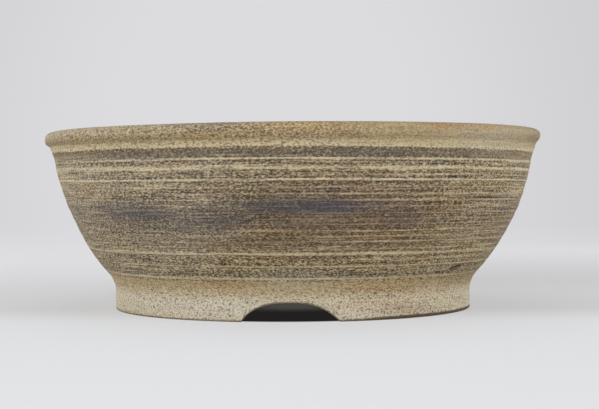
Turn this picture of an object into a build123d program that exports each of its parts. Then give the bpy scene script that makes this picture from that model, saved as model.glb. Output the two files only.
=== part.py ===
from build123d import *
import math
import os

# A round stoneware basin for flower arranging (a suiban) and the pin holder (kenzan) that stands in it.
# Millimetres. The origin is the middle of the circle that the foot stands on, +Z up, -Y towards the viewer.
# The basin is one fired piece: rolled lip, flared wall, flat floor, and a foot ring with three arched cuts.
# The pin holder is a lead disc with brass needles, and it stands in a rubber ring on the basin's floor.

# Basin, driving sizes
rim_radius = 150.0
basin_height = 106.0
wall_thickness = 7.4
floor_thickness = 8.0

# Foot ring, turned from the clay
foot_radius = 107.6
foot_ring_width = 12.0
foot_edge = 0.8
foot_recess_depth = 13.5
foot_recess_corner = 4.0
foot_straight_height = 10.5

# Blend: the hollow in which the foot flows out into the wall
blend_radius = 17.2
blend_angle = 42.4

# Neck: where the wall stands steepest, under the lip
neck_radius = 144.3
neck_height = 87.0

# Lip: rolled outwards, with a half-elliptic edge, a narrow land on top and a small round inside
lip_reach = 5.5
lip_rise = 4.1
lip_under_angle = 26.0
lip_width = 11.4
lip_inner_radius = 3.0

# Inside: the floor's flat, and the hollow that turns up from it into the wall
floor_radius = 82.0
hollow_radius = 34.0
hollow_angle = 42.0

# Cut-outs that leave the foot standing on three pads
cutout_count = 3
cutout_width = 54.5
cutout_height = 10.5

# Pin holder
kenzan_radius = 35.0
kenzan_thickness = 9.0
kenzan_edge = 0.8
needle_field_radius = 32.0
needle_pitch = 5.4
needle_radius = 0.75
needle_height = 11.5
needle_tip_height = 3.2
needle_seat_depth = 5.0

# Rubber ring round the pin holder
ring_wall = 3.2
ring_grip_height = 6.0
ring_ledge_width = 6.0
ring_ledge_thickness = 2.0
ring_edge = 0.9
ring_clearance = 0.15

# How far every cutting tool runs past the face that it cuts
overrun = 4.0

# A cut-out's arch, as shares of its width from its middle and of its height: the left flank stands steeper
cutout_outline_shares = (
    (-0.5, 0.0),
    (-0.4, 0.6),
    (-0.25, 0.94),
    (-0.03, 1.0),
    (0.2, 0.87),
    (0.38, 0.4),
    (0.5, 0.0),
)

# Round stretches of the section are turned in a few flats, and needles have few sides, for a light mesh
blend_flat_count = 3
wall_flat_count = 4
flare_flat_count = 2
lip_flat_count = 4
lip_inner_flat_count = 2
inside_flat_count = 3
hollow_flat_count = 2
needle_sides = 4

full_turn = 360.0
quarter_turn = 90.0
triangle_angle = 60.0

floor_height = foot_recess_depth + floor_thickness
foot_inner_radius = foot_radius - foot_ring_width
kenzan_bottom = floor_height + ring_ledge_thickness
kenzan_top = kenzan_bottom + kenzan_thickness


def direction(angle):
    """The direction at an angle, in degrees from the section's outward axis."""
    return Vector(math.cos(math.radians(angle)), math.sin(math.radians(angle)))


def in_flats(curve, flat_count):
    """The points that divide a curve into equal flats."""
    return [curve @ (step / flat_count) for step in range(flat_count + 1)]


def foot_points():
    """From the axis along the recess, round the foot ring and up its outer face to the blend."""
    ceiling = foot_recess_depth
    return [
        (0, ceiling),
        (foot_inner_radius - foot_recess_corner, ceiling),
        (foot_inner_radius, ceiling - foot_recess_corner),
        (foot_inner_radius, foot_edge),
        (foot_inner_radius + foot_edge, 0),
        (foot_radius - foot_edge, 0),
        (foot_radius, foot_edge),
    ]


def lip_points():
    """From the underside of the rolled edge over the land and down the round inside."""
    edge = EllipticalCenterArc(
        (rim_radius - lip_reach, basin_height - lip_rise),
        lip_reach,
        lip_rise,
        start_angle=-lip_under_angle,
        arc_size=lip_under_angle + quarter_turn,
    )
    inner_centre = (rim_radius - lip_width + lip_inner_radius, basin_height - lip_inner_radius)
    inner = CenterArc(inner_centre, lip_inner_radius, quarter_turn, quarter_turn)
    return in_flats(edge, lip_flat_count) + in_flats(inner, lip_inner_flat_count)


def basin_section():
    """The basin's section, in radius and height, closed along the axis."""
    foot = foot_points()
    lip = lip_points()
    blend = JernArc((foot_radius, foot_straight_height), direction(quarter_turn), blend_radius, -blend_angle)
    wall = TangentArc(blend @ 1, (neck_radius, neck_height), tangent=blend % 1)
    flare = TangentArc(wall @ 1, lip[0], tangent=wall % 1)
    outside = in_flats(blend, blend_flat_count)
    outside += in_flats(wall, wall_flat_count)[1:]
    outside += in_flats(flare, flare_flat_count)[1:-1]

    # The inside leaves the neck parallel to the outside, and meets the hollow that turns into the floor
    inner_neck = (wall @ 1) + (wall % 1).rotate(Axis.Z, quarter_turn) * wall_thickness
    hollow_centre = (floor_radius, floor_height + hollow_radius)
    hollow = CenterArc(hollow_centre, hollow_radius, hollow_angle - quarter_turn, -hollow_angle)
    inner_wall = TangentArc(inner_neck, hollow @ 0, tangent=-(wall % 1))
    inside = in_flats(inner_wall, inside_flat_count)
    inside += in_flats(hollow, hollow_flat_count)[1:]
    return Plane.XZ * make_face(Polyline(*foot, *outside, *lip, *inside, (0, floor_height), close=True))


def foot_cutout():
    """The tool that cuts one arch through the foot ring, at the front."""
    arch = [(out * cutout_width, up * cutout_height) for out, up in cutout_outline_shares]
    left, right = arch[0], arch[-1]
    top = Spline(*arch)
    sides = Polyline(right, (right[0], -overrun), (left[0], -overrun), left)
    face = make_face(Curve() + [top, sides])
    depth = foot_ring_width + overrun + overrun
    front = Plane((0, -foot_radius - overrun, 0), x_dir=(1, 0, 0), z_dir=(0, -1, 0))
    return extrude(front * face, -depth)


def make_basin():
    basin = revolve(basin_section(), Axis.Z, full_turn)
    for turn in range(cutout_count):
        basin -= Rot(0, 0, turn * full_turn / cutout_count) * foot_cutout()
    return basin


def needle_places():
    """The needles' places: a hexagonal pattern, out to the edge of their field."""
    places = []
    reach = math.ceil(needle_field_radius / needle_pitch) * 2
    for row in range(-reach, reach + 1):
        for column in range(-reach, reach + 1):
            x = needle_pitch * (column + row / 2)
            y = needle_pitch * row * math.sin(math.radians(triangle_angle))
            if math.hypot(x, y) + needle_radius < needle_field_radius:
                places.append((x, y))
    return places


def needle_shank(bottom, top):
    section = Plane((0, 0, bottom)) * RegularPolygon(needle_radius, needle_sides)
    return extrude(section, top - bottom)


def make_needles():
    """Each needle: a shank that fills its seat, and a ground point."""
    shoulder = kenzan_top + needle_height - needle_tip_height
    shank = needle_shank(kenzan_top - needle_seat_depth, shoulder)
    point_foot = Plane((0, 0, shoulder)) * RegularPolygon(needle_radius, needle_sides)
    point = loft([point_foot.face(), Vertex(0, 0, kenzan_top + needle_height)])
    needle = shank + point
    return Compound(children=[Pos(x, y, 0) * needle for x, y in needle_places()])


def make_kenzan_base():
    """The lead disc, with a blind seat for each needle."""
    base = Pos(0, 0, kenzan_bottom) * Cylinder(
        kenzan_radius, kenzan_thickness, align=(Align.CENTER, Align.CENTER, Align.MIN)
    )
    top_edge = base.edges().filter_by(GeomType.CIRCLE).sort_by(Axis.Z)[-1]
    base = chamfer(top_edge, kenzan_edge)
    seat = needle_shank(kenzan_top - needle_seat_depth, kenzan_top + overrun)
    return base - [Pos(x, y, 0) * seat for x, y in needle_places()]


def make_rubber_ring():
    """The ring has a sleeve round the disc's edge and a ledge under it."""
    sleeve_inner = kenzan_radius + ring_clearance
    outer = sleeve_inner + ring_wall
    ledge_inner = kenzan_radius - ring_ledge_width
    ledge_top = floor_height + ring_ledge_thickness
    top = ledge_top + ring_grip_height
    section = Polyline(
        (ledge_inner, floor_height),
        (outer, floor_height),
        (outer, top - ring_edge),
        (outer - ring_edge, top),
        (sleeve_inner, top),
        (sleeve_inner, ledge_top),
        (ledge_inner, ledge_top),
        close=True,
    )
    return revolve(Plane.XZ * make_face(section), Axis.Z, full_turn)


os.makedirs("parts", exist_ok=True)
export_step(make_basin(), "parts/basin.step")
export_step(make_kenzan_base(), "parts/kenzan_base.step")
export_step(make_needles(), "parts/kenzan_needles.step")
export_step(make_rubber_ring(), "parts/kenzan_rubber_ring.step")
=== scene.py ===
import math

import bpy
import numpy as np
from mathutils import Matrix, Vector


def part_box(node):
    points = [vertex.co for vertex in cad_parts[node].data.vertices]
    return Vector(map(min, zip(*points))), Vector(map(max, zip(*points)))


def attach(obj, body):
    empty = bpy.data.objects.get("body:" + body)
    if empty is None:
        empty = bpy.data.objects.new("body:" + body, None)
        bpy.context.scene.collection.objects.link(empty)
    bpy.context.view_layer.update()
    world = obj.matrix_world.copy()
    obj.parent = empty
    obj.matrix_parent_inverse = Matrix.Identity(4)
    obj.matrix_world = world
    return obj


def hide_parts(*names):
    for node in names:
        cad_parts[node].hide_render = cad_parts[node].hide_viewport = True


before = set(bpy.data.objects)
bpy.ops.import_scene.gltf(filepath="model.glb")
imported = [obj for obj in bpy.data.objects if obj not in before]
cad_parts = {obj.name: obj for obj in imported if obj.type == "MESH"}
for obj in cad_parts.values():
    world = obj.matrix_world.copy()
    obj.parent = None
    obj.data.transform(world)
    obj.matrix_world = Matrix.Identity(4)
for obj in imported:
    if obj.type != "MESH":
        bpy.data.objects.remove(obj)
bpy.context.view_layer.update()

# A wheel-thrown stoneware suiban on a turned foot, and the kenzan (pin holder) that stands on its floor.
# Shapes are worked out in millimetres and go into their meshes in metres. The front is towards -Y.
mm = 0.001


# Camera

cameraSetup = {
    "lens": 83.1,
    "sensor": 36.0,
    "place": (0.0043, -0.848, 0.0713),
    "tiltDown": 0.62,  # degrees
    "roll": -0.29,
}


def addCamera(setup):
    cameraData = bpy.data.cameras.new("camera")
    cameraData.lens = setup["lens"]
    cameraData.sensor_width = setup["sensor"]
    camera = bpy.data.objects.new("camera", cameraData)
    bpy.context.scene.collection.objects.link(camera)
    tilt = Matrix.Rotation(math.radians(90 - setup["tiltDown"]), 4, "X")
    roll = Matrix.Rotation(math.radians(setup["roll"]), 4, "Z")
    camera.matrix_world = Matrix.Translation(setup["place"]) @ tilt @ roll
    bpy.context.scene.camera = camera


addCamera(cameraSetup)
print("camera is set")


# Meshes


def addPiece(name, points, faces, marks=None):
    # Points in mm and their faces become a smooth mesh. A finish reads the marks, values at the points.
    mesh = bpy.data.meshes.new(name)
    mesh.from_pydata((points.reshape(-1, 3) * mm).tolist(), [], faces)
    for mark, values in (marks or {}).items():
        column = mesh.attributes.new(mark, "FLOAT", "POINT")
        column.data.foreach_set("value", values.astype(np.float32))
    mesh.shade_smooth()
    mesh.update()
    piece = bpy.data.objects.new(name, mesh)
    bpy.context.scene.collection.objects.link(piece)
    print(name, "has", sum(len(face) - 2 for face in faces), "triangles")
    return piece


def addSurface(name, grid, loop=False, poles=(None, None), marks=None):
    # The grid holds rows of points in mm. Each row closes on itself counter-clockwise, and the outside lies
    # on the right of the path from row to row. A pole closes the first or last row with a fan, and a loop
    # joins the last row to the first. A mark at a pole is the mean of the row's.
    rowCount, columnCount = grid.shape[:2]
    index = np.arange(rowCount * columnCount).reshape(rowCount, columnCount)
    lower = index if loop else index[:-1]
    upper = np.roll(index, -1, axis=0) if loop else index[1:]
    corners = (lower, np.roll(lower, -1, axis=1), np.roll(upper, -1, axis=1), upper)
    faces = np.stack(corners, axis=-1).reshape(-1, 4).tolist()
    points = [grid.reshape(-1, 3)]
    closed = []
    for pole, row, ahead in zip(poles, (0, -1), (False, True)):
        if pole is None:
            continue
        closed.append(row)
        points.append(np.array([pole]))
        tip = np.full(columnCount, rowCount * columnCount + len(closed) - 1)
        ring = index[row]
        turned = np.roll(ring, -1)
        fan = (ring, turned, tip) if ahead else (tip, turned, ring)
        faces += np.stack(fan, axis=-1).tolist()
    marks = {
        mark: np.append(values.ravel(), [values[row].mean() for row in closed])
        for mark, values in (marks or {}).items()
    }
    return addPiece(name, np.concatenate(points), faces, marks)


def revolved(radius, height, turn):
    # Every row of radii and heights goes round the axis: x is the radius times the cosine of the turn, and
    # y is the radius times its sine.
    return np.stack((radius * np.cos(turn), radius * np.sin(turn), height + 0 * turn), axis=-1)


def roundTurn(count):
    # Even angles round the whole circle.
    return np.linspace(0, 2 * math.pi, count, endpoint=False)


def straightRun(start, end, spacing):
    # Points at even shares of the way from start to end, without the end.
    start, end = np.array(start), np.array(end)
    count = max(1, round(float(np.hypot(*(end - start))) / spacing))
    return start + (end - start) * np.linspace(0, 1, count, endpoint=False)[:, None]


def onEllipse(centre, reach, angle, fullness=1.0):
    # Points of an ellipse: its centre plus its reach times the cosine and sine of an angle in degrees. A
    # circle's reach is one number. Both waves raised to a fullness below 1 fill the ellipse's corners out.
    across, up = np.cos(np.radians(angle)), np.sin(np.radians(angle))
    across = np.sign(across) * np.abs(across) ** fullness
    up = np.sign(up) * np.abs(up) ** fullness
    reach = np.broadcast_to(reach, 2)
    return np.stack((centre[0] + reach[0] * across, centre[1] + reach[1] * up), axis=-1)


def roundRun(centre, reach, fromAngle, toAngle, spacing, fullness=1.0):
    # Points of an ellipse at evenly growing angles, without the last.
    turn = toAngle - fromAngle
    count = max(2, round(abs(math.radians(turn)) * np.max(reach) / spacing))
    return onEllipse(centre, reach, fromAngle + turn * np.linspace(0, 1, count, endpoint=False), fullness)


def bentRun(start, heading, end, spacing):
    # A circular arc that leaves start at a heading and meets end, without the end. The lean is the angle
    # between heading and whole chord. The chord to a share t of the arc leaves at the heading plus t times
    # the lean, and its length is the whole chord's times sine of (t times lean) over sine of lean.
    start, end = np.array(start), np.array(end)
    chord = end - start
    lean = math.atan2(chord[1], chord[0]) - heading
    lean = (lean + math.pi) % (2 * math.pi) - math.pi
    size = float(np.hypot(*chord))
    count = max(2, round(size / spacing))
    share = np.linspace(0, 1, count, endpoint=False)
    length = size * np.sin(lean * share) / math.sin(lean)
    angle = heading + lean * share
    return start + np.stack((length * np.cos(angle), length * np.sin(angle)), axis=-1)


def bentEnd(start, heading, end):
    # The heading with which such an arc arrives: the first one plus twice the lean.
    lean = math.atan2(end[1] - start[1], end[0] - start[0]) - heading
    return heading + 2 * ((lean + math.pi) % (2 * math.pi) - math.pi)


def eased(value, low, high):
    # 0 below low, 1 above high, and a smooth step between them.
    share = np.clip((value - low) / (high - low), 0, 1)
    return share * share * (3 - 2 * share)


def bell(value, middle, width):
    # A bell curve: e to the power of minus the square of the distance from its middle, in widths.
    return np.exp(-(((value - middle) / width) ** 2))


def wavy(place, lines):
    # The sum of smooth random lines, each a size, a spacing and a seed: heights from -1 to 1 at even
    # spacings, joined by cosine steps.
    count = 4096
    total = 0
    for size, spacing, seed in lines:
        heights = np.random.RandomState(seed).uniform(-1, 1, count)
        step = place / spacing
        whole = np.floor(step).astype(int)
        share = (1 - np.cos(math.pi * (step - whole))) / 2
        before, after = heights[whole % count], heights[(whole + 1) % count]
        total = total + size * (before * (1 - share) + after * share)
    return total


def roundWaves(turn, waves):
    # The sum of waves round the axis, each a size, a count of waves in the circle and a phase.
    return sum(size * np.sin(count * turn + phase) for size, count, phase in waves)


# Finishes


class Signal:
    # One socket of a finish, with arithmetic: each operator adds the Math node that does it.
    def __init__(self, finish, socket):
        self.finish = finish
        self.socket = socket

    def __add__(self, other):
        return self.finish.maths("ADD", self, other)

    def __sub__(self, other):
        return self.finish.maths("SUBTRACT", self, other)

    def __rsub__(self, other):
        return self.finish.maths("SUBTRACT", other, self)

    def __mul__(self, other):
        return self.finish.maths("MULTIPLY", self, other)

    def __truediv__(self, other):
        return self.finish.maths("DIVIDE", self, other)

    def __pow__(self, other):
        return self.finish.maths("POWER", self, other)

    def __abs__(self):
        return self.finish.maths("ABSOLUTE", self)

    __radd__ = __add__
    __rmul__ = __mul__


class Finish:
    # A material with its tones, and short ways to add the nodes that it is made of.
    def __init__(self, name, tones):
        self.tones = tones
        self.material = bpy.data.materials.new(name)
        self.material.use_nodes = True
        self.tree = self.material.node_tree
        self.tree.nodes.clear()

    def add(self, kind, output=0, settings=None, inputs=None):
        # One node: its settings first, then values or links for its sockets. It gives one of its outputs.
        node = self.tree.nodes.new("ShaderNode" + kind)
        for setting, value in (settings or {}).items():
            if setting == "stops":
                self.setStops(node.color_ramp, value)
            else:
                setattr(node, setting, value)
        for key, value in (inputs or {}).items():
            if isinstance(value, Signal):
                self.tree.links.new(value.socket, node.inputs[key])
            else:
                node.inputs[key].default_value = value
        return Signal(self, node.outputs[output]) if len(node.outputs) else None

    def setStops(self, ramp, stops):
        while len(ramp.elements) < len(stops):
            ramp.elements.new(0.5)
        for element, (place, colour) in zip(ramp.elements, stops):
            element.position = place
            element.color = colour

    def maths(self, operation, first, second=0.0):
        return self.add("Math", 0, {"operation": operation}, {0: first, 1: second})

    def mix(self, share, first, second):
        settings = {"data_type": "RGBA", "blend_type": "MIX", "clamp_factor": True}
        return self.add("Mix", 2, settings, {0: share, 6: first, 7: second})

    def over(self, colour, *layers):
        # Layers over a colour or a tone's name, one by one: each is a share and the name of its tone.
        if isinstance(colour, str):
            colour = self.tones[colour]
        for share, name in layers:
            colour = self.mix(share, colour, self.tones[name])
        return colour

    def most(self, first, second):
        # The larger of two signals, of which the first may be missing.
        return second if first is None else self.maths("MAXIMUM", first, second)

    def step(self, value, low, high, fromValue=0.0, toValue=1.0):
        # A smooth step of a signal, from one value below low to another above high.
        inputs = {"Value": value, "From Min": low, "From Max": high, "To Min": fromValue, "To Max": toValue}
        return self.add("MapRange", 0, {"interpolation_type": "SMOOTHSTEP"}, inputs)

    def place(self):
        # Object coordinates in millimetres, one by one.
        metres = self.add("TexCoord", "Object")
        whole = self.add("VectorMath", 0, {"operation": "SCALE"}, {0: metres, "Scale": 1 / mm})
        return [self.add("SeparateXYZ", axis, None, {0: whole}) for axis in "XYZ"]

    def mark(self, name):
        return self.add("Attribute", "Fac", {"attribute_name": name})

    def joined(self, x, y, z):
        return self.add("CombineXYZ", 0, None, {0: x, 1: y, 2: z})

    def noise(self, x, y, z, detail, roughness):
        inputs = {"Vector": self.joined(x, y, z), "Scale": 1.0, "Detail": detail, "Roughness": roughness}
        return self.add("TexNoise", 0, None, inputs)

    def bump(self, height, strength):
        # Height is in millimetres.
        inputs = {"Height": height, "Strength": strength, "Distance": mm}
        return self.add("Bump", 0, None, inputs)

    def blend(self, share, first, second):
        return self.add("MixShader", 0, None, {0: share, 1: first, 2: second})

    def finished(self, shader):
        self.add("OutputMaterial", 0, None, {"Surface": shader})
        return self.material

    def surface(self, inputs):
        return self.finished(self.add("BsdfPrincipled", 0, None, inputs))


def tone(red, green, blue):
    # A colour as a screen shows it, 0 to 255, turned into the linear colour that a shader takes.
    screen = np.array((red, green, blue)) / 255
    linear = np.where(screen > 0.04045, ((screen + 0.055) / 1.055) ** 2.4, screen / 12.92)
    return *linear.tolist(), 1.0


# Basin

basinShape = {
    "rimRadius": 150.0,
    "height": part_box("basin")[1].z / mm,
    "wall": 7.4,
    "footRadius": 107.6,
    "footWidth": 12.0,
    "footEdge": 0.8,
    "footStraight": 10.5,
    "recess": 13.5,
    "recessCorner": 4.0,
    "blendRadius": 17.2,
    "blendTurn": 42.4,  # degrees
    "neck": (144.3, 87.0),
    "lipReach": 5.5,
    "lipRise": 4.1,
    "lipUnder": 26.0,
    "lipFullness": 0.78,
    "lipWidth": 11.4,
    "lipInner": 3.0,
    "floor": 21.5,
    "floorRadius": 82.0,
    "hollowRadius": 34.0,
    "hollowTurn": 42.0,
    "wallSpacing": 0.72,  # between rows of the mesh on the outside
    "columns": 252,
}

# The arches that are cut through the foot: where they stand in degrees, and how each flank curves
archShape = {
    "turns": (-90.0, 30.0, 150.0),
    "halfWidth": 27.25,
    "rightEnd": 25.7,
    "height": 10.3,
    "crown": -1.6,
    "leftPowers": (2.7, 0.77),
    "rightPowers": (2.8, 1.0),
    "denser": (1.4, 8.0),  # columns over an arch: how much denser, and how far past it
    "densest": (5.0, 2.5),  # at its ends
}

# Lines that the turning rib left on the outside: height, half width, ridge, strength of the colour, and
# side (-1 all on the left, 1 all on the right, 0 all round)
turnedLines = (
    (96.6, 0.4, 0.1, 0.25, 0), (87.7, 0.42, 0.22, 0.9, 0), (85.9, 0.2, 0.1, 0.35, 0.85),
    (84.0, 0.6, 0.05, 0.7, -1), (83.1, 0.8, 0.3, 1.0, -0.15), (79.6, 0.2, 0.08, 0.35, 0.85),
    (77.1, 0.45, 0.26, 1.0, 0), (73.2, 0.25, 0.1, 0.4, 0), (69.7, 0.35, 0.2, 0.6, 0.85),
    (66.4, 0.3, 0.15, 0.55, 0.85), (63.2, 0.2, 0.1, 0.4, 0.85), (59.6, 0.2, 0.12, 0.45, 0.85),
    (56.4, 0.2, 0.1, 0.35, 0.85), (53.8, 0.2, 0.12, 0.4, 0.85), (50.2, 0.3, 0.15, 0.6, 0.85),
    (47.3, 0.3, 0.12, 0.5, 0.85), (44.4, 0.3, 0.15, 0.6, 0.85), (40.6, 0.3, 0.12, 0.5, 0.85),
    (37.9, 0.6, 0.3, 0.9, 0), (34.6, 0.2, 0.1, 0.4, 0.85), (31.0, 0.3, 0.18, 0.65, 0),
    (27.6, 0.2, 0.1, 0.35, 0.85), (24.2, 0.35, 0.22, 0.9, -0.5),
)

# How the turned lines wander round the basin: size, waves in the circle, phase. On the right they sag, and
# on the left the upper ones rise: how far, the turn and its width in degrees, and the height from which
lineWander = ((0.34, 1, 0.6), (0.2, 2, 2.1), (0.1, 5, 4.0))
lineSags = ((1.5, -15.0, 42.0, -25.0), (-0.45, -118.0, 20.0, 83.0))

# Nicks on the right of the front: how far across, height, half width, half height, slant
nicks = ((107.6, 67.2, 11.5, 0.65, 0.0), (91.6, 28.2, 4.6, 1.3, 0.2))
nickDepth = 0.6

# Rings that the fingers left: size, spacing, seed of the random heights
fingerRings = {
    "outside": ((0.13, 1.9, 3), (0.16, 5.7, 5)),
    "inside": ((0.42, 4.6, 8), (0.12, 1.6, 9)),
    "underneath": ((0.14, 2.8, 11),),
}

# What the wheel and the kiln left uneven: waves (size, waves in the circle, phase) and sizes in mm
unevenness = {
    "radiusWaves": ((0.12, 3, 2.2), (0.06, 5, 0.9)),
    "heightWaves": ((0.1, 2, 1.1), (0.08, 3, 5.0), (0.04, 7, 0.3)),
    "wallFrom": (20.0, 60.0),  # heights between which it sets in
    "lipFrom": (92.0, 101.0),
    "insideFrom": (42.0, 56.0),  # radii
    "slowWave": (0.05, 3, 9.0),  # size, waves in the circle, way along the section
    "lineSwell": 0.25,
    "groove": (0.6, 97.0, 1.5),  # under the lip: depth, height, half width
    "footRelief": (0.35, 16.0, 24.0),  # share on the foot, and heights up to the whole
    "shrunk": 0.2,
    "drawnIn": 1.1,  # the wall, on the left
    "hanging": 0.55,  # the lip, on the left
    "rolled": 0.9,  # the lip's roll, tighter on the right
    "rollHeight": 101.0,
}


def basinRows(shape):
    # The section from the middle of the underside, over foot, wall and lip, to the middle of the floor:
    # runs of radii and heights that follow each other, each with the spacing of its rows.
    ceiling, edge, corner = shape["recess"], shape["footEdge"], shape["recessCorner"]
    outer, straight = shape["footRadius"], shape["footStraight"]
    inner = outer - shape["footWidth"]
    neck, wall, small, floor = shape["neck"], shape["wall"], shape["lipInner"], shape["floor"]
    top, under, fullness = shape["height"], shape["lipUnder"], shape["lipFullness"]
    blendArc = ((outer + shape["blendRadius"], straight), shape["blendRadius"])
    lipReach = (shape["lipReach"], shape["lipRise"])
    lipArc = ((shape["rimRadius"] - lipReach[0], top - lipReach[1]), lipReach)
    hollowArc = ((shape["floorRadius"], floor + shape["hollowRadius"]), shape["hollowRadius"])
    blendStop = 180 - shape["blendTurn"]
    hollowStart = shape["hollowTurn"] - 90
    blendEnd = onEllipse(*blendArc, blendStop)
    lipStart = onEllipse(*lipArc, -under, fullness)
    wallHeading = math.radians(90 - shape["blendTurn"])
    neckHeading = bentEnd(blendEnd, wallHeading, neck)
    innerLip = shape["rimRadius"] - shape["lipWidth"] + small
    innerTop = (innerLip - small, top - small)
    innerNeck = (neck[0] - wall * math.sin(neckHeading), neck[1] + wall * math.cos(neckHeading))
    innerFoot = onEllipse(*hollowArc, hollowStart)
    fine = shape["wallSpacing"]
    runs = {
        "ceiling": straightRun((4.0, ceiling), (inner - corner, ceiling), 4.0),
        "corner": roundRun((inner - corner, ceiling - corner), corner, 90, 0, 1.0),
        "innerFace": straightRun((inner, ceiling - corner), (inner, edge), 1.2),
        "innerEdge": roundRun((inner + edge, edge), edge, 180, 270, 0.4),
        "sole": straightRun((inner + edge, 0), (outer - edge, 0), 1.3),
        "outerEdge": roundRun((outer - edge, edge), edge, 270, 360, 0.3),
        "outerFace": straightRun((outer, edge), (outer, straight), 0.8),
        "blend": roundRun(*blendArc, 180, blendStop, 0.8),
        "wall": bentRun(blendEnd, wallHeading, neck, fine),
        "flare": bentRun(neck, neckHeading, lipStart, fine),
        "lip": roundRun(*lipArc, -under, 90, 0.4, fullness),
        "land": straightRun((lipArc[0][0], top), (innerLip, top), 0.75),
        "innerRound": roundRun((innerLip, innerTop[1]), small, 90, 180, 0.6),
        "innerNeck": straightRun(innerTop, innerNeck, 1.2),
        "innerWall": bentRun(innerNeck, neckHeading + math.pi, innerFoot, 1.4),
        "hollow": roundRun(*hollowArc, hollowStart, -90, 1.5),
        "floor": straightRun((shape["floorRadius"], floor), (2.0, floor), 2.4),
    }
    starts = dict(zip(runs, np.cumsum([0] + [len(run) for run in runs.values()][:-1]).tolist()))
    radius, height = np.concatenate(list(runs.values())).T
    return radius, height, starts


def basinTurns(arch, radius, count):
    # Angles of the columns, at equal shares of the summed density.
    turn = np.linspace(-math.pi, math.pi, 20001)
    density = np.ones_like(turn)
    more, past = arch["denser"]
    most, width = arch["densest"]
    for place in arch["turns"]:
        away = np.abs((turn - math.radians(place) + math.pi) % (2 * math.pi) - math.pi) * radius
        density += more * (1 - eased(away, arch["halfWidth"], arch["halfWidth"] + past))
        density += most * bell(away, arch["halfWidth"], width)
    total = np.concatenate(((0,), np.cumsum((density[1:] + density[:-1]) / 2)))
    return np.interp(np.linspace(0, total[-1], count, endpoint=False), total, turn)


def archRise(radius, turn, arch):
    # How far the sole is lifted: an arch's height times (1 - distance^p)^q. Distance is the way from the
    # crown as a share of the flank's width, and each flank has its own p and q.
    rise = 0 * (radius * turn)
    for place in arch["turns"]:
        away = turn - math.radians(place)
        across = radius * np.sin(away)
        left = across < arch["crown"]
        reach = np.where(left, arch["halfWidth"] + arch["crown"], arch["rightEnd"] - arch["crown"])
        share = np.clip(np.abs(across - arch["crown"]) / reach, 0, 1)
        steep = (1 - share ** arch["leftPowers"][0]) ** arch["leftPowers"][1]
        gentle = (1 - share ** arch["rightPowers"][0]) ** arch["rightPowers"][1]
        rise = np.where(np.cos(away) > 0, rise + arch["height"] * np.where(left, steep, gentle), rise)
    return rise


def basinRelief(radius, height, along, turn, lines):
    # Height of the surface over its smooth section, in mm: finger rings, a slow wave, the groove under the
    # lip, and turned lines. A line is a bell curve across its height, and it swells and fades round the
    # basin. A nick is a bell curve downwards, with smooth ends.
    level = height - roundWaves(turn, lineWander)
    ring = level
    for sag, place, width, start in lineSags:
        ring = ring + sag * bell(np.degrees(turn), place, width) * eased(level, start, start + 4)
    size, count, length = unevenness["slowWave"]
    relief = wavy(ring, fingerRings["outside"]) + size * np.sin(count * turn + along / length)
    depth, middle, width = unevenness["groove"]
    relief = relief - depth * bell(level, middle, width)
    swelling = unevenness["lineSwell"]
    for number, (place, halfWidth, ridge, strength, side) in enumerate(lines):
        swell = 1 - swelling + swelling * np.sin(2 * turn + 1.7 * number)
        sideShare = 1 - abs(side) * (1 - eased(np.sign(side) * np.cos(turn), -0.2, 0.5))
        relief = relief + ridge * swell * sideShare * bell(ring, place, halfWidth + 0.35)
    across = radius * np.cos(turn)
    for place, middle, halfWidth, halfHeight, slant in nicks:
        lengthwise = 1 - eased(np.abs(across - place), halfWidth * 0.6, halfWidth)
        crosswise = bell(ring - (across - place) * slant, middle, halfHeight + 0.1)
        relief = relief - nickDepth * lengthwise * crosswise * (np.sin(turn) < 0)
    return ring, relief


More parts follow.
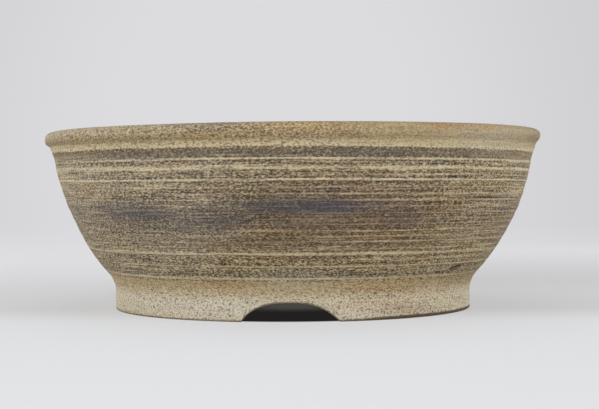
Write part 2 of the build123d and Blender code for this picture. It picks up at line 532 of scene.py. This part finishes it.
def makeBasin(shape, arch, lines):
    # The section's rows go round the axis. The sole is lifted at the arches, relief moves each point along
    # the section's normal, and the slow unevenness comes last.
    radius, height, starts = basinRows(shape)
    steps = np.hypot(np.gradient(radius), np.gradient(height))
    along = np.cumsum(steps)
    normal = np.stack((np.gradient(height), -np.gradient(radius))) / steps
    rows = np.arange(len(radius))

    # 0 on the foot's inner face, 1 on its outer face, and a share of the way between on the sole
    side = np.clip((rows - starts["sole"]) / (starts["outerEdge"] - starts["sole"]), 0, 1)

    # How much of an arch's rise each row takes: all of it at the sole, and none from ceiling and wall on
    edge, top = shape["footEdge"], height[starts["wall"]]
    innerLift = 1 - np.clip((height - edge) / (shape["recess"] - edge), 0, 1)
    outerLift = 1 - np.clip((height - edge) / (top - edge), 0, 1)
    held = np.where(side < 0.5, innerLift, outerLift) * (rows < starts["wall"])

    # Where the outside's relief and colours hold, where the finger rings inside do, and those underneath
    outside = 1.0 * (rows >= starts["outerEdge"]) * (rows < starts["land"])
    outside[starts["land"]:starts["innerNeck"]] = np.linspace(1, 0, starts["innerNeck"] - starts["land"])
    inside = (rows >= starts["innerRound"]) * eased(radius, *unevenness["insideFrom"])
    underneath = 1.0 * (rows < starts["innerFace"])

    turn = basinTurns(arch, shape["footRadius"], shape["columns"])[None, :]
    columns = (radius, height, along, side, held, outside, inside, underneath)
    radius, height, along, side, held, outside, inside, underneath = (column[:, None] for column in columns)
    normal = normal[:, :, None]

    # Where the sole is lifted, radii follow the foot's two faces to where these are at the new height
    lifted = height + held * archRise(radius, turn, arch)
    shifts = []
    for first, last in (("corner", "innerEdge"), ("outerFace", "flare")):
        heights, radii = height[starts[first]:starts[last], 0], radius[starts[first]:starts[last], 0]
        upwards = np.argsort(heights)
        face = (heights[upwards], radii[upwards])
        shifts.append(np.interp(lifted, *face) - np.interp(height, *face))
    shifted = radius + np.where(held > 0, shifts[0] * (1 - side) + shifts[1] * side, 0)

    ring, relief = basinRelief(radius, lifted, along, turn, lines)
    least, low, high = unevenness["footRelief"]
    relief = relief * outside * (least + (1 - least) * eased(lifted, low, high))
    relief = relief + inside * wavy(along, fingerRings["inside"])
    relief = relief + underneath * wavy(along, fingerRings["underneath"])

    # The wall is drawn in on the left, where the lip hangs lower, and its roll is tighter on the right
    uneven = eased(lifted, *unevenness["wallFrom"])
    atLip = eased(lifted, *unevenness["lipFrom"])
    drawnIn = unevenness["drawnIn"] * eased(-np.cos(turn), 0.2, 1.0) * (1 - 0.5 * atLip)
    pulled = roundWaves(turn, unevenness["radiusWaves"]) - unevenness["shrunk"] - drawnIn
    shifted = shifted + uneven * pulled
    hanging = unevenness["hanging"] * np.cos(turn) * eased(lifted, 60, 100)
    rolled = unevenness["rolled"] * np.cos(turn) * bell(lifted, unevenness["rollHeight"], 2.4)
    settled = lifted + uneven * roundWaves(turn, unevenness["heightWaves"]) + hanging + rolled
    grid = revolved(shifted + normal[0] * relief, settled + normal[1] * relief, turn)
    marks = {"ring": ring, "along": along, "outside": outside, "fromSole": height}
    marks = {name: values + 0 * turn for name, values in marks.items()}
    poles = ((0, 0, shape["recess"]), (0, 0, shape["floor"]))
    return addSurface("stoneware_basin", grid, poles=poles, marks=marks)


basinTones = {
    "cream": tone(208, 193, 158), "sand": tone(170, 150, 113), "tan": tone(152, 131, 96),
    "gold": tone(148, 124, 84), "wheat": tone(186, 164, 125), "brown": tone(118, 97, 70),
    "umber": tone(101, 84, 66), "slate": tone(102, 92, 80), "bisque": tone(208, 195, 168),
    "mottle": tone(217, 207, 186), "bloom": tone(219, 213, 198), "soleBrown": tone(80, 63, 48),
    "ochre": tone(160, 122, 68), "rust": tone(124, 84, 50), "amber": tone(124, 88, 42),
    "blush": tone(168, 114, 74), "smoke": tone(54, 59, 76), "leftGrey": tone(168, 161, 151),
    "scorch": tone(92, 68, 40), "mauve": tone(108, 91, 88), "darkGrain": tone(44, 38, 32),
    "paleGrain": tone(216, 200, 160),
}

# The wall's bands of tone, by height in mm
basinBands = (
    (0.0, "sand"), (2.2, "bisque"), (12.5, "bisque"), (17.0, "wheat"),
    (24.2, "wheat"), (25.6, "slate"), (28.0, "brown"), (30.0, "gold"),
    (35.5, "gold"), (37.0, "brown"), (39.5, "gold"), (43.0, "brown"),
    (50.0, "brown"), (56.0, "umber"), (65.0, "umber"), (68.0, "brown"),
    (74.0, "gold"), (78.0, "umber"), (81.5, "tan"), (83.8, "gold"),
    (85.5, "umber"), (88.0, "slate"), (90.3, "slate"), (92.3, "brown"),
    (93.3, "cream"), (96.0, "sand"), (99.0, "tan"), (103.0, "sand"),
    (106.0, "tan"),
)

# The clay's grain and clouds: width and rise in mm, offset, detail, roughness
basinGrains = {
    "dash": (1.8, 0.85, 0.0, 2.0, 0.65),
    "grain": (1.3, 0.9, 31.0, 1.0, 0.5),
    "grit": (0.6, 0.5, 57.0, 1.0, 0.5),
    "streak": (34.0, 0.95, 0.0, 2.0, 0.6),
    "thrown": (90.0, 3.4, 0.0, 1.0, 0.5),
    "mottle": (4.0, 3.0, 9.0, 2.0, 0.6),
    "veil": (26.0, 5.0, 0.0, 3.0, 0.6),
    "broad": (60.0, 11.0, 0.0, 1.0, 0.5),
}

# Patches where the flame left its marks: turn in degrees from the front, height, strength, size
flamePatches = {
    "smoke": (
        (-37, 60, 1.0, 0.85), (-30, 57, 0.4, 1.1), (-19, 56, 0.7, 0.9), (-19, 61.5, 0.4, 0.7),
        (-2, 63, 0.9, 0.8), (8, 63, 1.0, 0.9), (6, 55.5, 0.4, 0.8), (18, 61.5, 0.4, 0.9),
        (28, 56, 0.65, 0.7), (20, 90.5, 0.2, 0.7), (118, 62, 0.9, 1.1), (205, 52, 0.8, 1.2),
    ),
    "warm": (
        (4, 50, 0.7, 0.8), (6, 55.5, 0.8, 0.9), (20, 55.5, 1.0, 1.1), (27, 51, 0.9, 1.0),
        (16, 49, 0.9, 0.9), (20, 65.5, 0.7, 1.0), (12, 75, 0.5, 1.3), (-8, 38, 0.6, 1.0),
        (31, 60, 0.8, 0.9), (34, 64, 0.9, 0.9), (43, 62, 0.6, 0.8), (2, 105.2, 0.7, 0.8),
        (-13, 100.3, 0.7, 0.8), (29, 20, 0.8, 0.8), (-21, 20.5, 0.5, 0.8), (140, 48, 0.8, 1.2),
        (250, 60, 0.7, 1.2),
    ),
    "mauve": (
        (-16, 105.5, 1.0, 0.7), (-30, 54, 0.6, 1.4), (-24, 65, 0.6, 1.2), (8, 54, 0.3, 1.2),
        (19, 64, 0.6, 1.0), (14, 75, 0.5, 1.4), (-45, 50, 0.6, 0.9), (38, 5, 0.4, 0.8),
        (170, 66, 0.8, 1.2), (75, 104, 0.5, 1.0),
    ),
    "blush": (
        (32, 105.2, 0.7, 0.5), (44, 104.8, 0.7, 0.5), (56, 98, 0.3, 0.5), (30, 8, 0.5, 1.0),
        (200, 103, 0.6, 1.0),
    ),
    "bloom": (
        (-42, 9, 0.7, 0.9), (-23, 7.5, 1.0, 1.0), (19, 5, 0.7, 0.6), (2, 25, 0.32, 0.9),
        (50, 98.8, 0.4, 1.2), (100, 8, 0.8, 1.0), (190, 7, 0.9, 1.1),
    ),
}


def patchesOf(paint, coordinates, patches, spread):
    # Soft patches, which fade with the distance from their middle, in units of the spread. Their middle
    # lies on the wall, which leans outwards at a slope, more or less.
    wallRadius, wallStart, slope = 112, 22, 0.5
    total = None
    for turn, height, strength, size in patches:
        radius = wallRadius + (height - wallStart) * slope
        angle = math.radians(turn)
        middle = np.array((radius * math.sin(angle), -radius * math.cos(angle), height)) / spread
        inputs = {0: coordinates, 1: middle.tolist()}
        distance = paint.add("VectorMath", "Value", {"operation": "DISTANCE"}, inputs)
        total = paint.most(total, paint.step(distance, 0.2 * size, 1.6 * size, strength, 0.0))
    return total


def stonewareFinish(tones, bands, grains, lines):
    # Bands of tone by height, then flame marks, grain, turned lines, nicks and specks over them.
    paint = Finish("stoneware", tones)
    step, over, mix = paint.step, paint.over, paint.mix
    x, y, z = paint.place()
    names = ("ring", "along", "outside", "fromSole")
    ring, along, outside, fromSole = (paint.mark(name) for name in names)
    top = bands[-1][0]

    # Grain in three sizes and streaks, all longer round the basin than up it, and slow clouds
    dash, grain, grit, streak, thrown, mottle, veil, broad = (
        paint.noise(x / width, y / width, along / rise + offset, detail, roughness)
        for width, rise, offset, detail, roughness in grains.values()
    )

    # Bands of tone, whose heights shift a little round the basin, under the lip less on the far right
    shift = ((broad - 0.5) * 2.4 + (streak - 0.5) * 2.2) * step(ring, 84, 92, 1.0, 0.6)
    shifted = ring + shift + step(ring, 84, 92) * step(x, 40, 125, -0.95, -0.2)
    stops = [(height / top, tones[name]) for height, name in bands]
    banded = paint.add("ValToRGB", 0, {"stops": stops}, {0: shifted / top})

    # Inside and underneath the clay is bare, with its own rings, darker lower down and pale on the sole
    bare = over(
        "gold",
        (step(streak, 0.4, 0.62), "sand"),
        (step(thrown, 0.5, 0.6) * 0.35, "wheat"),
        (step(thrown, 0.48, 0.38) * 0.35, "brown"),
        (step(veil, 0.5, 0.3) * 0.35, "mauve"),
        (step(z, 80, 22) * 0.35, "brown"),
        (step(fromSole, 8, 1.5) * 0.85, "bisque"),
    )

    # Front and back are darker than the sides, partly a darker patina and partly painted shade, and painted
    # light makes the sides paler. The belly is scorched right of its middle. The left of the wall is
    # lighter and greyer, a painted side light, the top of the lip greyer on the left, and the right edge
    # more mauve, a painted shade, with a brown hollow over the foot.
    wall = step(ring, 20, 30) * step(ring, 92, 86) * outside
    belly = step(abs(ring - 52), 22, 8)
    # Painted shade, partly a darker patina: the front and back darker than the sides
    patinaAndShade = step(abs(x - 15), 115, 25) * step(ring, 23, 36, 0.2, 1.0) * wall
    patinaAndShade = patinaAndShade * (0.48 + step(abs(ring - 59), 22, 10) * 0.2)
    # Painted side light: the sides paler, less on the belly
    paintedSideLight = step(abs(x), 80, 140) * step(ring, 22, 30) * step(ring, 93, 91) * outside
    lipTop = step(ring, 101, 104) * step(x, 0, -40) * outside
    hollow = step(x, 60, 100) * step(abs(ring - 24), 10, 5) * outside
    scorched = step(abs(x - 27), 75, 20) * step(abs(ring - 59), 26, 12) * wall
    lipPale = step(abs(ring - 98.8), 4, 2.5) * step(abs(x - 68), 40, 20) * outside
    colour = over(
        mix(outside, bare, banded),
        (patinaAndShade, "umber"),
        (paintedSideLight * (0.5 - belly * 0.32), "sand"),
        # Painted side light on the left of the wall, and the lip's top greyer on the left
        (step(x, -8, -70) * wall * 0.3 + lipTop * 0.32, "leftGrey"),
        # Painted shade on the right edge of the wall
        (step(x, 95, 135) * wall * 0.35, "mauve"),
        (hollow * 0.4, "brown"),
        (scorched * 0.45, "scorch"),
        (lipPale * 0.5, "wheat"),
        (step(veil, 0.48, 0.68) * wall * 0.5, "rust"),
        (step(veil, 0.5, 0.32) * wall * 0.45, "mauve"),
    )

    # Flame marks: warm, mauve and smoky patches with torn edges, and a pale bloom on the foot
    spread = (30.0, 30.0, 5.6)
    tornX = x / spread[0] + (broad - 0.5)
    torn = paint.joined(tornX, y / spread[1], ring / spread[2] + (streak - 0.5) * 0.9)
    marks = {name: patchesOf(paint, torn, patches, spread) for name, patches in flamePatches.items()}
    warm = marks["warm"] * step(veil, 0.25, 0.55, 0.4, 1.0)
    smoke = marks["smoke"]
    footShare = step(ring, 22, 14) * outside
    colour = mix(warm * outside * 0.6, colour, over("ochre", (wall, "amber")))
    colour = over(
        colour,
        (marks["mauve"] * outside * 0.6, "mauve"),
        (marks["blush"] * outside * 0.6, "blush"),
        (smoke * outside * 0.76, "smoke"),
        (step(mottle, 0.5, 0.66) * footShare * 0.4, "mottle"),
        (marks["bloom"] * outside * 0.6, "bloom"),
    )

    # Grain: coarse on the wall, fine everywhere, and softest where smoke covers it
    coarse = (0.2 + wall * 0.8) * (1 - smoke * 0.75) * (1.4 - belly * 0.35)
    pale = 1 - patinaAndShade * 0.3 - scorched * 0.25
    collar = step(ring, 86, 88) * step(ring, 93, 92)
    lipRight = step(ring, 93, 96) * step(x, -10, 70) * outside
    fine = 0.65 + outside * 0.15 - wall * 0.1 - footShare * 0.15
    fine = fine + (step(ring, 93, 96) * 0.14 + step(abs(ring - 31), 11, 6) * 0.38) * outside
    fine = fine * (1 - smoke * 0.6) * (1 - collar * 0.4) * (1 - lipRight * 0.5)
    gritShare = (1 - smoke * 0.6) * (0.15 + footShare * 0.5)
    colour = over(
        colour,
        (step(streak, 0.48, 0.32) * coarse * 0.65, "darkGrain"),
        (step(streak, 0.54, 0.68) * coarse * pale * 0.5, "paleGrain"),
        (step(dash, 0.5, 0.34) * coarse * 0.56, "darkGrain"),
        (step(dash, 0.52, 0.68) * coarse * pale * 0.54, "paleGrain"),
        (step(grain, 0.47, 0.37) * fine * 0.6, "darkGrain"),
        (step(grain, 0.53, 0.63) * fine * pale * 0.5, "paleGrain"),
        (step(grit, 0.43, 0.33) * gritShare, "darkGrain"),
        (step(grit, 0.6, 0.7) * gritShare, "paleGrain"),
    )

    # Turned lines: pale where the rib burnished them and broken where it skipped
    skipped = step(streak, 0.36, 0.54, 0.45, 1.0) * step(dash, 0.36, 0.52, 0.45, 1.0)
    onLeft, onRight = step(x, 60, -60), step(x, -40, 70)
    lineTotal = None
    for height, halfWidth, ridge, strength, side in lines:
        line = step(abs(ring - height), halfWidth * 0.5, halfWidth + 0.4, strength, 0.0)
        line = line * ((onLeft if side < 0 else onRight) * abs(side) + (1 - abs(side)))
        lineTotal = paint.most(lineTotal, line)
    lineShare = lineTotal * skipped * outside * (1 - smoke * 0.5)

    # Dark dashes under the lip and under the lowest line, and painted shade in the nicks
    borders = paint.maths("MINIMUM", abs(shifted - 92.7), abs(ring - 22.9))
    dashes = step(borders, 0.7, 0.2) * step(dash, 0.5, 0.4) * outside
    colour = over(colour, (lineShare, "cream"), (dashes * 0.75, "darkGrain"))
    # Painted shade: each nick is painted dark in its hollow
    for across, height, halfWidth, halfHeight, slant in nicks:
        lengthwise = step(abs(x - across), halfWidth, halfWidth * 0.6) * step(y, 0, -20)
        crosswise = step(abs(ring - height - (x - across) * slant), halfHeight, halfHeight * 0.3)
        colour = over(colour, (lengthwise * crosswise * outside * 0.85, "darkGrain"))

    # Small specks on the pale foot, and the brown edge of the sole
    rightSole = step(x, 15, 60)
    sole = step(fromSole + (grain - 0.5) * 1.2 - rightSole, 1.5, 0.4) * outside
    colour = over(
        colour,
        (step(grain, 0.36, 0.3) * footShare * 0.5, "darkGrain"),
        (step(grain, 0.55, 0.66) * footShare * 0.45, "mottle"),
        (sole * (0.65 + rightSole * 0.3), "soleBrown"),
    )

    relief = dash * 0.3 + streak * 0.25 + grain * 0.12 + grit * 0.05 + lineShare * 0.2
    inputs = {
        "Base Color": colour,
        "Roughness": step(dash, 0.3, 0.7, 0.95, 0.78),
        "Specular IOR Level": 0.3,
        "Normal": paint.bump(relief, 0.8),
    }
    return paint.surface(inputs)


basin = makeBasin(basinShape, archShape, turnedLines)
basin.data.materials.append(stonewareFinish(basinTones, basinBands, basinGrains, turnedLines))
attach(basin, "basin")
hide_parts("basin")
print("basin is made")


# Kenzan: a cast lead disc, its brass needles, and a rubber ring

kenzanShape = {
    "radius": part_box("kenzan_base")[1].x / mm,
    "bottom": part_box("kenzan_base")[0].z / mm,
    "top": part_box("kenzan_base")[1].z / mm,
    "edge": 0.8,
    "bottomEdge": 0.4,
    "collarHeight": 0.35,
    "collarWidth": 0.5,
    "ripple": 0.06,
    "rippleLengths": (3.1, 4.7),  # across and away
    "columns": 300,
}

needleShape = {
    "fieldRadius": 32.0,
    "pitch": 5.4,
    "radius": 0.75,
    "top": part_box("kenzan_needles")[1].z / mm,
    "bottom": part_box("kenzan_needles")[0].z / mm,
    "leftOut": 4.6,  # the shank's length that its seat hides
    "point": ((3.45, 1.0), (2.85, 0.9), (1.0, 0.34), (0.12, 0.07)),  # depth, share of the radius
    "sides": 10,
    "lean": 0.12,  # at the tip, at most
    "drop": 0.25,  # how much lower a tip stands, at most
    "seed": 21,
}

ringShape = {
    "outer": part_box("kenzan_rubber_ring")[1].x / mm,
    "bottom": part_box("kenzan_rubber_ring")[0].z / mm,
    "top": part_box("kenzan_rubber_ring")[1].z / mm,
    "wall": 3.2,
    "ledgeInner": 29.0,
    "ledgeTop": 2.0,
    "edge": 0.9,
    "smallEdge": 0.3,
    "seam": ((-0.2, 0.02), (0.0, 0.16), (0.2, 0.02)),  # of the mould: height from the middle, reach
    "seamRoom": 0.25,
    "columns": 180,
}

kenzanTones = {
    "lead": tone(132, 134, 137),
    "paleLead": tone(168, 169, 168),
    "pit": tone(92, 93, 96),
    "leadCollar": tone(112, 109, 104),
    "brass": tone(236, 208, 142),
    "tarnish": tone(186, 152, 92),
    "rubber": tone(38, 38, 39),
    "bloom": tone(62, 62, 61),
}


def needlePlaces(shape):
    # A hexagonal pattern: x is the pitch times (column + half a row), and y is the pitch times the row
    # times the sine of 60 degrees.
    count = 2 * math.ceil(shape["fieldRadius"] / shape["pitch"])
    row, column = np.meshgrid(np.arange(-count, count + 1), np.arange(-count, count + 1), indexing="ij")
    x = shape["pitch"] * (column + row / 2)
    y = shape["pitch"] * row * math.sin(math.radians(60))
    kept = np.hypot(x, y) + shape["radius"] < shape["fieldRadius"]
    return np.stack((x[kept], y[kept]), axis=-1)


def makeDisc(shape, places, needles):
    # A revolved section with rounded edges. Its top has a slow ripple and a small collar round each needle:
    # a bell curve of the distance to the nearest needle.
    radius, low, high = shape["radius"], shape["bottom"], shape["top"]
    edge, small = shape["edge"], shape["bottomEdge"]
    runs = (
        straightRun((3.0, low), (radius - small, low), 4.0),
        roundRun((radius - small, low + small), small, 270, 360, 0.2),
        straightRun((radius, low + small), (radius, high - edge), 1.2),
        roundRun((radius - edge, high - edge), edge, 0, 90, 0.25),
        straightRun((radius - edge, high), (1.0, high), 0.55),
    )
    section = np.concatenate(runs)
    grid = revolved(section[:, :1], section[:, 1:], roundTurn(shape["columns"]))
    away = np.hypot(grid[..., :1] - places[:, 0], grid[..., 1:2] - places[:, 1]).min(axis=-1)
    onTop = eased(section[:, 1:], high - 0.2, high) * eased(-section[:, :1], 1 - radius, 3 - radius)
    collar = bell(np.maximum(away - needles["radius"], 0), 0, shape["collarWidth"])
    across, deep = shape["rippleLengths"]
    ripple = np.sin(grid[..., 0] / across + grid[..., 1] / deep)
    grid[..., 2] += onTop * (shape["collarHeight"] * collar + shape["ripple"] * ripple)
    poles = ((0, 0, low), (0, 0, float(grid[-1, :, 2].mean())))
    return addSurface("lead_disc", grid, poles=poles, marks={"collar": collar * onTop})


def makeNeedles(shape, places):
    # Each needle is a few rings round its own axis, which shrink to a point, and all needles are worked out
    # at once. A share of the needle's lean and drop moves each ring.
    seeded = np.random.RandomState(shape["seed"])
    lean = seeded.uniform(-shape["lean"], shape["lean"], (len(places), 2))
    drop = seeded.uniform(0, shape["drop"], len(places))
    turn = roundTurn(shape["sides"])
    low, high = shape["bottom"] + shape["leftOut"], shape["top"]
    depths, radii = np.array(((high - low, 1.0), *shape["point"])).T
    heights, radii = high - depths, shape["radius"] * radii[:, None]
    share = (heights - low) / (high - low)
    middle = places[:, None, :] + lean[:, None, :] * share[:, None]
    x = middle[..., :1] + radii * np.cos(turn)
    y = middle[..., 1:] + radii * np.sin(turn)
    z = (heights - drop[:, None] * share)[:, :, None] + 0 * x
    points = np.stack((x, y, z), axis=-1)
    count, rings, sides = points.shape[:3]
    index = np.arange(rings * sides).reshape(rings, sides)
    turned = np.roll(index, -1, axis=1)
    quads = np.stack((index[:-1], turned[:-1], turned[1:], index[1:]), axis=-1).reshape(-1, 4)
    tips = np.concatenate((index[0][::-1], index[-1])).reshape(2, sides)
    offset = (np.arange(count) * rings * sides)[:, None, None]
    faces = (quads[None] + offset).reshape(-1, 4).tolist()
    faces += (tips[None] + offset).reshape(-1, sides).tolist()
    print("brass_needles has", count, "needles")
    return addPiece("brass_needles", points, faces)


def makeRing(shape):
    # A closed section round the axis: ledge under the disc, sleeve beside it, rounded edges and a seam.
    outer, low, high, ledge = shape["outer"], shape["bottom"], shape["top"], shape["ledgeInner"]
    small, edge, room = shape["smallEdge"], shape["edge"], shape["seamRoom"]
    inner = outer - shape["wall"]
    ledgeTop = low + shape["ledgeTop"]
    middle = (low + high) / 2
    runs = (
        roundRun((ledge + small, low + small), small, 180, 270, 0.12),
        straightRun((ledge + small, low), (outer - small, low), 1.5),
        roundRun((outer - small, low + small), small, 270, 360, 0.12),
        straightRun((outer, low + small), (outer, middle - room), 0.9),
        [(outer + out, middle + up) for up, out in shape["seam"]],
        straightRun((outer, middle + room), (outer, high - edge), 0.9),
        roundRun((outer - edge, high - edge), edge, 0, 90, 0.25),
        straightRun((outer - edge, high), (inner + small, high), 0.8),
        roundRun((inner + small, high - small), small, 90, 180, 0.12),
        straightRun((inner, high - small), (inner, ledgeTop), 1.2),
        straightRun((inner, ledgeTop), (ledge + small, ledgeTop), 1.2),
        roundRun((ledge + small, ledgeTop - small), small, 90, 180, 0.12),
    )
    section = np.concatenate(runs)
    grid = revolved(section[:, :1], section[:, 1:], roundTurn(shape["columns"]))
    return addSurface("rubber_ring", grid, loop=True)


def leadFinish(tones):
    # Cloudy cast lead with pits, and a darker collar round each needle.
    paint = Finish("lead", tones)
    x, y, z = paint.place()
    cloud = paint.noise(x / 7, y / 7, z / 7, 3.0, 0.6)
    pits = paint.noise(x / 0.7, y / 0.7, z / 0.7, 2.0, 0.6)
    colour = paint.over(
        "lead",
        (paint.step(cloud, 0.35, 0.65), "paleLead"),
        (paint.step(pits, 0.42, 0.3), "pit"),
        (paint.mark("collar") * 0.6, "leadCollar"),
    )
    inputs = {
        "Base Color": colour,
        "Metallic": 0.7,
        "Roughness": paint.step(cloud, 0.3, 0.7, 0.45, 0.65),
        "Normal": paint.bump(pits * 0.12 + cloud * 0.2, 0.7),
    }
    return paint.surface(inputs)


def brassFinish(tones, top):
    # Brass with tarnish in clouds, but for the ground points, and fine marks of the grinding.
    paint = Finish("brass", tones)
    x, y, z = paint.place()
    cloud = paint.noise(x / 5, y / 5, z / 5, 2.0, 0.5)
    grind = paint.noise(x / 0.5, y / 0.5, z / 0.12, 1.0, 0.5)
    ground = paint.step(z, top - 3.4, top - 2.9)
    tarnish = (1 - ground) * paint.step(cloud, 0.4, 0.7, 0.25, 0.8)
    inputs = {
        "Base Color": paint.over("brass", (tarnish, "tarnish")),
        "Metallic": 0.9,
        "Roughness": paint.step(tarnish, 0.0, 1.0, 0.28, 0.48),
        "Normal": paint.bump(grind * 0.03, 0.5),
    }
    return paint.surface(inputs)


def rubberFinish(tones):
    # Black rubber with a pale bloom in clouds.
    paint = Finish("rubber", tones)
    x, y, z = paint.place()
    bloom = paint.noise(x / 9, y / 9, z / 3, 3.0, 0.6)
    skin = paint.noise(x / 0.4, y / 0.4, z / 0.4, 1.0, 0.5)
    inputs = {
        "Base Color": paint.over("rubber", (paint.step(bloom, 0.45, 0.72), "bloom")),
        "Roughness": paint.step(bloom, 0.3, 0.7, 0.55, 0.75),
        "Specular IOR Level": 0.4,
        "Normal": paint.bump(skin * 0.05, 0.6),
    }
    return paint.surface(inputs)


places = needlePlaces(needleShape)
disc = makeDisc(kenzanShape, places, needleShape)
disc.data.materials.append(leadFinish(kenzanTones))
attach(disc, "pin_holder")
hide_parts("kenzan_base")

needles = makeNeedles(needleShape, places)
needles.data.materials.append(brassFinish(kenzanTones, needleShape["top"]))
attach(needles, "pin_holder")
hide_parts("kenzan_needles")

rubberRing = makeRing(ringShape)
rubberRing.data.materials.append(rubberFinish(kenzanTones))
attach(rubberRing, "rubber_ring")
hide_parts("kenzan_rubber_ring")
print("kenzan is made")


# Studio: a floor that turns up into a wall all round, a pale sky and soft lamps

studioSetup = {
    "floorReach": 1750.0,  # mm
    "coveRadius": 400.0,
    "wallTop": 900.0,
    "columns": 128,
    "footShade": (101.0, 107.4),  # radii in mm between which each sets in
    "clearEdge": (105.4, 106.6),
    "paperFrom": (450.0, 1100.0),
    "nearTone": tone(224, 225, 227),
    # Painted shade: a darker band on the floor behind the basin's front, and the floor darker on the right
    "shadedBandTone": tone(212, 212, 213),
    "shadedRightTone": tone(192, 192, 194),
    "wallTone": tone(220, 220, 223),
    # Painted shade: the paper darker towards the wall's edges
    "shadedWallEdgeTone": tone(208, 208, 210),
    # Painted shadow on the floor under the basin, and a painted pool of light in its middle, where light
    # comes in through the back arches
    "shadowTone": tone(34, 33, 32),  # under the basin
    "glowTone": tone(74, 71, 67),
    "skyStrength": 0.78,
}

lamps = (
    # name, place in metres, size, power
    ("left", (-1.5, -1.2, 0.9), (1.3, 1.3), 13.0),
    ("right", (1.5, -1.2, 0.9), (1.3, 1.3), 13.0),
    ("backLeft", (-1.3, 1.3, 0.5), (1.0, 0.8), 6.0),
    ("backRight", (1.3, 1.3, 0.5), (1.0, 0.8), 6.0),
)


def makeStudio(setup):
    # A section round the axis: down the wall, round the cove and in along the floor to the middle.
    floorReach, cove = setup["floorReach"], setup["coveRadius"]
    runs = (
        straightRun((floorReach + cove, setup["wallTop"]), (floorReach + cove, cove), 200.0),
        roundRun((floorReach, cove), cove, 0, -90, 20.0),
        straightRun((floorReach, 0), (60.0, 0), 60.0),
    )
    section = np.concatenate(runs)
    grid = revolved(section[:, :1], section[:, 1:], roundTurn(setup["columns"]))
    return addSurface("studio", grid, poles=(None, (0, 0, 0)))


def studioFinish(setup):
    # A matt floor that keeps the basin's shadow, softened near the foot, and pale paper further off, whose
    # tone holds painted shade. In the foot ring, where it lets light through, the camera sees a painted
    # shadow with a painted pool of light in its middle, and from below it is clear.
    paint = Finish("studio", setup)
    step, over, mix = paint.step, paint.over, paint.mix
    x, y, z = paint.place()
    away = (x * x + y * y) ** 0.5
    aside = ((x + 80) * (x + 80) + (z - 230) * (z - 230)) ** 0.5
    # Painted shade on the floor: darker in a band behind the basin's front, and darker towards the right
    shadedBand = step(y, -110, -10)
    rightward = step(x, -120, 160)
    rightShade = rightward * (0.05 + shadedBand * 0.12 + step(y, 80, 240) * 0.3)
    floorTone = over(
        "nearTone",
        (shadedBand, "shadedBandTone"),
        (rightShade, "shadedRightTone"),
        (step(y - rightward * 170, 60, 600), "wallTone"),
    )
    # Painted shade on the paper towards the wall's edges
    paperTone = over(floorTone, (step(aside, 250, 800), "shadedWallEdgeTone"))
    # Painted shadow in the foot ring, with a painted pool of light in its middle
    shadowTone = over("glowTone", (step(away, 5, 50), "shadowTone"))
    paperTone = mix(step(away, *setup["footShade"]), shadowTone, paperTone)
    clear = paint.add("BsdfTransparent")
    matt = paint.add("BsdfDiffuse", 0, None, {"Color": floorTone})
    matt = paint.blend(step(away, *setup["clearEdge"]), clear, matt)
    paper = paint.add("Emission", 0, None, {"Color": paperTone, "Strength": 1.0})
    seen = None
    for ray in ("Is Camera Ray", "Is Glossy Ray", "Is Transmission Ray"):
        seen = paint.most(seen, paint.add("LightPath", ray))
    plain = paint.most(step(away, *setup["footShade"], 1.0, 0.6), step(away, *setup["paperFrom"]))
    shown = paint.blend(seen * plain, matt, paper)
    behind = paint.add("NewGeometry", "Backfacing")
    return paint.finished(paint.blend(behind, shown, clear))


def addLamp(name, place, size, power):
    light = bpy.data.lights.new(name, "AREA")
    light.shape = "RECTANGLE"
    light.size, light.size_y = size
    light.energy = power
    lamp = bpy.data.objects.new(name, light)
    bpy.context.scene.collection.objects.link(lamp)
    lamp.location = place
    lamp.rotation_euler = (Vector((0, 0, 0.05)) - Vector(place)).to_track_quat("-Z", "Y").to_euler()
    lamp.visible_camera = False


studio = makeStudio(studioSetup)
studio.data.materials.append(studioFinish(studioSetup))

sky = bpy.data.worlds.new("sky")
sky.use_nodes = True
sky.node_tree.nodes["Background"].inputs["Color"].default_value = (1.0, 1.0, 1.0, 1.0)
sky.node_tree.nodes["Background"].inputs["Strength"].default_value = studioSetup["skyStrength"]
bpy.context.scene.world = sky
for lamp in lamps:
    addLamp(*lamp)
bpy.context.scene.view_settings.view_transform = "Standard"
print("studio is lit")
